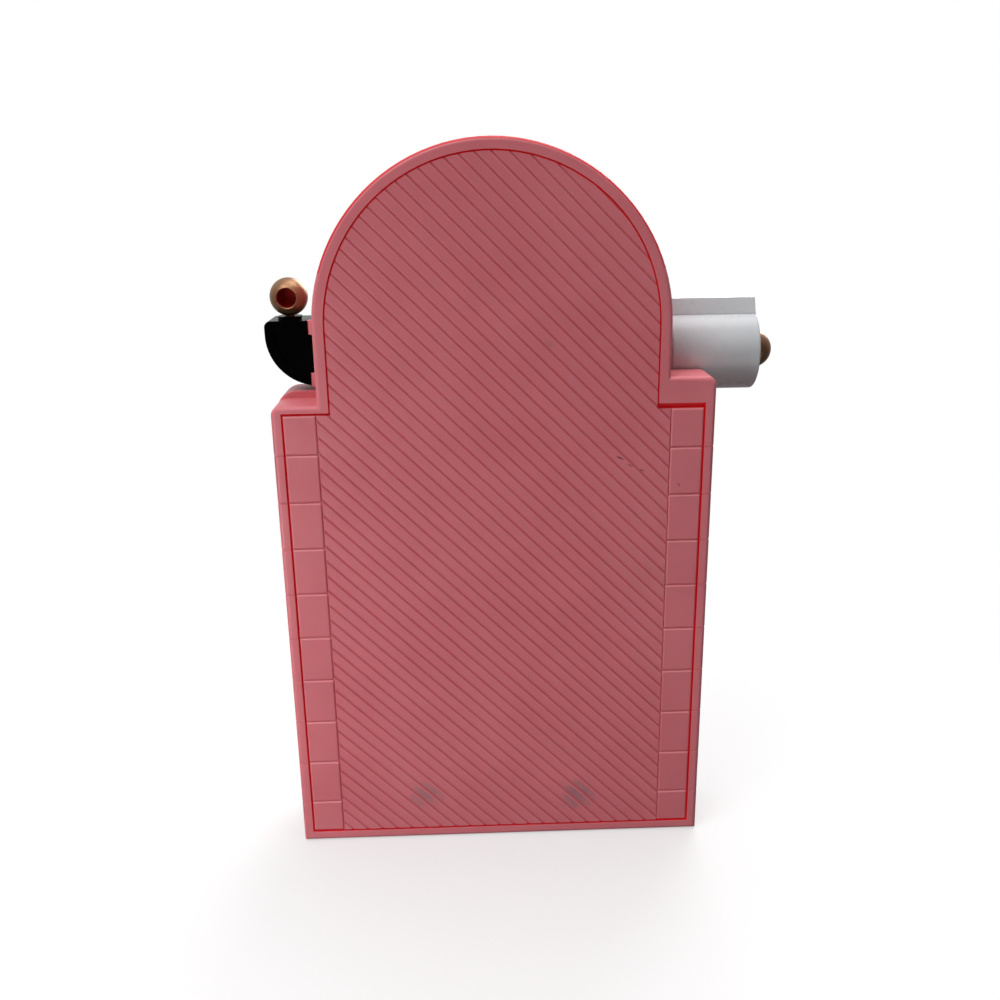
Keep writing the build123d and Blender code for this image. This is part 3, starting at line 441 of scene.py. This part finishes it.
# The globe is a hollow bead: a round-edged eye faces the back, and its bore shows the red plastic.
globe = lathe([(0, -9.13)] + [
    (9.13 * math.sin(math.radians(a)), -9.13 * math.cos(math.radians(a))) for a in range(6, 144, 6)
] + [(5.35, 7.4), (5.05, 7.62), (4.75, 7.5), (4.55, 7.1), (4.5, 6.4), (4.45, 2.2), (4.0, 1.6),
     (0, 1.6)], GLOBE_CENTRE, "Y")
stem = lathe([(0, -9.6), (2.35, -9.6), (2.35, -8.9), (2.35, -6.0), (0, -6.0)],
             GLOBE_CENTRE, "Z", 48)
globe = join(globe, stem)
globe.name = "lamp_globe_bead"
finish_piece(globe, "lamp_globe", gold, ("lamp_globe",), smooth=50)
globe.data.materials.append(bore)
for face in globe.data.polygons:
    middle = face.center / MM - Vector(GLOBE_CENTRE)
    if math.hypot(middle.x, middle.z) < 4.6 and 0 < middle.y < 7.2:
        face.material_index = 1


# ---------------------------------------------------------------- the front

def stripes(piece, low, high, count, other):
    """Paints alternate bands along X in the piece's second finish, cut on clean lines."""
    step = (high - low) / count
    for k in range(1, count):
        edit(piece)
        bpy.ops.mesh.select_all(action="SELECT")
        bpy.ops.mesh.bisect(plane_co=((low + k * step) * MM, 0, 0), plane_no=(1, 0, 0))
        leave()
    piece.data.materials.append(other)
    for face in piece.data.polygons:
        face.material_index = int((face.center.x / MM - low) // step) % 2


awning = soften("awning", black, edge=0.15)
notches = rod(1.7, -40, -33, "Y", (-30, 110.6), 24)
modify(notches, "ARRAY", count=11, use_relative_offset=False, use_constant_offset=True,
       constant_offset_displace=(6 * MM, 0, 0))
cut(awning, notches)
stripes(awning, -36, 36, 12, white)

door = soften("door_leaf", white, edge=0.2)
raised = join(block((-14, -21.15, 11.5), (15.5, -20.4, 36)),
              block((-14, -21.15, 42), (15.5, -20.4, 73)))
modify(raised, "BEVEL", width=0.5 * MM, segments=2, limit_method="ANGLE")
edit(raised, mode="FACE")
pick(raised, faces=lambda f: f.normal.y < -0.99 and f.area > 4e-4)
bpy.ops.mesh.inset(thickness=2.2 * MM, use_individual=True)
bpy.ops.mesh.extrude_region_move(TRANSFORM_OT_translate={"value": (0, 0.5 * MM, 0)})
bpy.ops.mesh.inset(thickness=0.5 * MM, use_individual=True)
bpy.ops.mesh.inset(thickness=1.2 * MM, use_individual=True)
bpy.ops.transform.translate(value=(0, -0.35 * MM, 0))
leave()
raised.name = "door_raised_panels"
finish_piece(raised, "door", white)

sign = soften("sign_plate", gold, edge=0.0)
edit(sign, mode="FACE")
pick(sign, faces=lambda f: f.normal.y < -0.99)
bpy.ops.mesh.inset(thickness=1.3 * MM)
bpy.ops.mesh.inset(thickness=0.4 * MM, depth=-0.5 * MM)
leave()
sign.data.materials.append(black)
for face in sign.data.polygons:
    if face.normal.y < -0.99 and face.area > 5e-4:
        face.material_index = 1

rosettes = []
for x in (-24, -12, 0, 12, 24):
    rosettes.append(lathe([(0, 0), (3.4, 0), (3.4, -0.3), (2.9, -0.6), (2.0, -0.4), (1.2, -0.55),
                           (0, -0.8)], (x, -21.7, 228), "Y", 40))
rosette = join(*rosettes)
rosette.name = "sign_rosettes"
finish_piece(rosette, "front_shell", gold)


def petals(spot, size, turn, finish, number):
    """A moulded blossom: five cupped petals round a domed heart."""
    bpy.ops.mesh.primitive_uv_sphere_add(segments=12, ring_count=6, radius=1)
    petal = bpy.context.active_object
    petal.scale = (0.62 * size, 0.5 * size, 0.2 * size)
    petal.location = (0.62 * size, 0, 0.12 * size)
    petal.rotation_euler = (0, math.radians(-22), 0)
    settle(petal)
    ring = [petal]
    for k in range(1, 5):
        only(petal)
        bpy.ops.object.duplicate()
        copy = bpy.context.active_object
        copy.rotation_euler = (0, 0, k * math.radians(72))
        settle(copy)
        ring.append(copy)
    blossom = join(*ring)
    blossom.rotation_euler = turn
    blossom.location = spot
    settle(blossom)
    blossom.name = f"blossom_{number}"
    finish_piece(blossom, "front_shell", finish, smooth=60)
    bpy.ops.mesh.primitive_uv_sphere_add(segments=10, ring_count=6, radius=0.32 * size)
    heart = bpy.context.active_object
    heart.scale.z = 0.7
    heart.rotation_euler = turn
    heart.location = Vector(spot) + Vector((0, -0.25, 0.12)) * size
    settle(heart)
    heart.name = f"blossom_heart_{number}"
    finish_piece(heart, "front_shell", gold, smooth=60)


def foliage():
    """The leaves that fill the box: one pointed leaf copied in three staggered rows."""
    leaves = []
    for k in range(39):
        row, place = k % 3, k // 3
        bpy.ops.mesh.primitive_uv_sphere_add(segments=8, ring_count=8, radius=1)
        one = bpy.context.active_object
        for vert in one.data.vertices:
            vert.co.y *= 1 - 0.55 * max(vert.co.x, 0)
        one.scale = (3.0 * MM, 1.5 * MM, 0.5 * MM)
        one.rotation_euler = (0.5 * math.sin(k * 2.1), math.radians(-38) + 0.25 * math.sin(k * 1.3),
                              math.radians(-90 + 62 * math.sin(k * 1.9)))
        one.location = ((-29 + place * 4.83 + 0.9 * math.sin(k)) * MM, (-28.2 + 2.2 * row) * MM,
                        (138.2 + 0.8 * math.sin(k * 0.7)) * MM)
        settle(one)
        leaves.append(one)
    bed = block((-31.2, -29.8, 131), (31.2, -22.2, 137.2))
    modify(bed, "BEVEL", width=0.8 * MM, segments=2, limit_method="ANGLE")
    bunch = join(*leaves, bed)
    bunch.name = "flower_box_leaves"
    finish_piece(bunch, "front_shell", leaf, ("flowers",), smooth=50)


foliage()
for number in range(13):
    swing = math.sin(number * 2.4)
    petals(((-28.5 + number * 4.75) * MM, (-28.0 + 1.5 * (number % 3)) * MM,
            (139.7 + 0.9 * (number % 2)) * MM), 2.1 * MM,
           (math.radians(48 + 14 * swing), 0, 0.5 * swing),
           (pink, white, petal_lilac)[number % 3], number)


# ---------------------------------------------------------------- everything else as it was moulded

FINISHES = (
    (pink, "pink_abs", "rear_frame front_frame"),
    (white, "white_abs", "lower_left_window_frame lower_right_window_frame upper_window_frame"
     " rose_window_frame door_frame door_step staircase drum_case drum_roller fold_table"),
    (black, "black_abs", "lamp_arm flower_box left_shutter right_shutter latch_hook"),
    (gold, "gold_plate", "drum_knob door_knob mirror_frame"),
    (lilac, "lilac_abs", "rear_lower_floor rear_upper_floor front_lower_floor front_upper_floor"
     " table_rail bed_rail fold_bed"),
    (foil, "mirror_foil", "mirror_plate"),
    (clear, "clear_ps", "lower_left_window_pane lower_right_window_pane upper_window_pane"
     " rose_window_pane fanlight_pane"),
    (steel, "steel", "panel_screws hinge_pins lamp_pin drum_screws latch_screw"),
)
for material, slot, names in FINISHES:
    for name in names.split():
        if name == "front_frame":
            soften(name, material, edge=0.15, flat=0)
        else:
            soften(name, material, edge=0.1 if slot in ("steel", "clear_ps") else 0.22)
shell = bpy.data.objects["rear_frame_moulding"]
# The pocket walls round the back panel take the gap's painted glow and painted red shade.
shell.data.materials.append(gap_painted_glow)
for face in shell.data.polygons:
    middle = face.center / MM
    from_centre = math.hypot(middle.x, middle.z - HEAD_CENTRE)
    in_body = abs(middle.x) < 100.7 and (middle.z < HEAD_CENTRE or from_centre < 100.7)
    in_pocket = middle.z < 235.6 or from_centre < 78.4 or abs(middle.x) < 78.4
    if in_body and in_pocket and 17.4 < middle.y < 20.2 and middle.z > 4:
        face.material_index = 1

left = [o.name for o in frame["nodes"].values() if not o.hide_render]
if left:
    raise RuntimeError(f"no finish for {left}")

# ---------------------------------------------------------------- studio

def area(name, place, aim, size, watts, tint="ffffff"):
    data = bpy.data.lights.new(name, "AREA")
    data.shape = "RECTANGLE"
    data.size, data.size_y = size
    data.energy = watts
    data.color = linear(tint)[:3]
    lamp = bpy.data.objects.new(name, data)
    bpy.context.scene.collection.objects.link(lamp)
    lamp.location = place
    lamp.rotation_euler = (Vector(aim) - Vector(place)).to_track_quat("-Z", "Y").to_euler()
    return lamp


# A window-like box high on the lamp side and one from above shade the back from its lamp side to
# the other, two small low ones lift its foot, and a wide one on the street side lights the front.
area("high_lamp_side_softbox", (0.4, 0.5, 1.12), (0, 0, 0.2), (0.6, 0.6), 4.6)
area("low_lamp_side_softbox", (0.33, 0.32, 0.04), (0.05, 0, 0.05), (0.2, 0.2), 0.95)
area("low_drum_side_softbox", (-0.3, 0.36, 0.04), (-0.04, 0, 0.05), (0.2, 0.2), 0.2)
area("overhead_softbox", (-0.15, -0.15, 1.2), (0, 0, 0.3), (0.7, 0.7), 3.8)
area("street_side_softbox", (-0.45, -1.2, 0.75), (0, 0, 0.17), (0.9, 0.9), 12)

# White paper under the house: it takes a faint shadow near the foot and runs out to pure white.
bpy.ops.mesh.primitive_plane_add(size=12, location=(0, 0, -0.0003))
floor = bpy.context.active_object
floor.name = "studio_floor"
paper = bpy.data.materials.new("white_background_paper")
paper.use_nodes = True
tree = paper.node_tree
tree.nodes.clear()
spot = add(tree, "ShaderNodeTexCoord").outputs["Object"]
reach = add(tree, "ShaderNodeVectorMath", {0: spot}, operation="LENGTH").outputs["Value"]
far = add(tree, "ShaderNodeMapRange", {"Value": reach, "From Min": 0.1, "From Max": 0.5,
                                      "To Min": 0.5},
          interpolation_type="SMOOTHSTEP").outputs["Result"]
near_paper = add(tree, "ShaderNodeBsdfDiffuse", {"Color": linear("f6f6f6")}).outputs["BSDF"]
bright = add(tree, "ShaderNodeEmission", {"Strength": 1.0}).outputs["Emission"]
sweep = add(tree, "ShaderNodeMixShader", {0: far, 1: near_paper, 2: bright}).outputs["Shader"]
add(tree, "ShaderNodeOutputMaterial", {"Surface": sweep})
floor.data.materials.append(paper)
floor.visible_diffuse = False
floor.visible_glossy = False

# The room is brightest over the street side, and the backdrop is plain white.
world = bpy.data.worlds.new("studio")
bpy.context.scene.world = world
world.use_nodes = True
tree = world.node_tree
tree.nodes.clear()
way = add(tree, "ShaderNodeTexCoord").outputs["Generated"]
lean = add(tree, "ShaderNodeVectorMath", {0: way, 1: (0.2, -0.7, 0.68)}, operation="DOT_PRODUCT")
glow = add(tree, "ShaderNodeMapRange", {"Value": lean.outputs["Value"], "From Min": -0.3,
                                        "From Max": 0.9, "To Min": 0.1,
                                        "To Max": 0.9}).outputs["Result"]
room = add(tree, "ShaderNodeBackground", {"Strength": glow}).outputs["Background"]
backdrop = add(tree, "ShaderNodeBackground", {"Color": (1, 1, 1, 1),
                                              "Strength": 1.0}).outputs["Background"]
seen = add(tree, "ShaderNodeLightPath").outputs["Is Camera Ray"]
both = add(tree, "ShaderNodeMixShader", {0: seen, 1: room, 2: backdrop}).outputs["Shader"]
add(tree, "ShaderNodeOutputWorld", {"Surface": both})

bpy.context.scene.view_settings.view_transform = "Standard"

# The camera stands behind the house, a little above its middle, looking down at it.
data = bpy.data.cameras.new("camera")
data.lens, data.sensor_width = 36.94, 36
data.clip_start, data.clip_end = 0.02, 20
camera = bpy.data.objects.new("camera", data)
bpy.context.scene.collection.objects.link(camera)
right = Vector((-0.99932, 0.03400, -0.01395))
up = Vector((-0.02349, -0.29894, 0.95398))
back_way = right.cross(up)
turn = Matrix((right, up, back_way)).transposed().to_4x4()
camera.matrix_world = Matrix.Translation((0.0121, 0.4954, 0.3385)) @ turn
bpy.context.scene.camera = camera
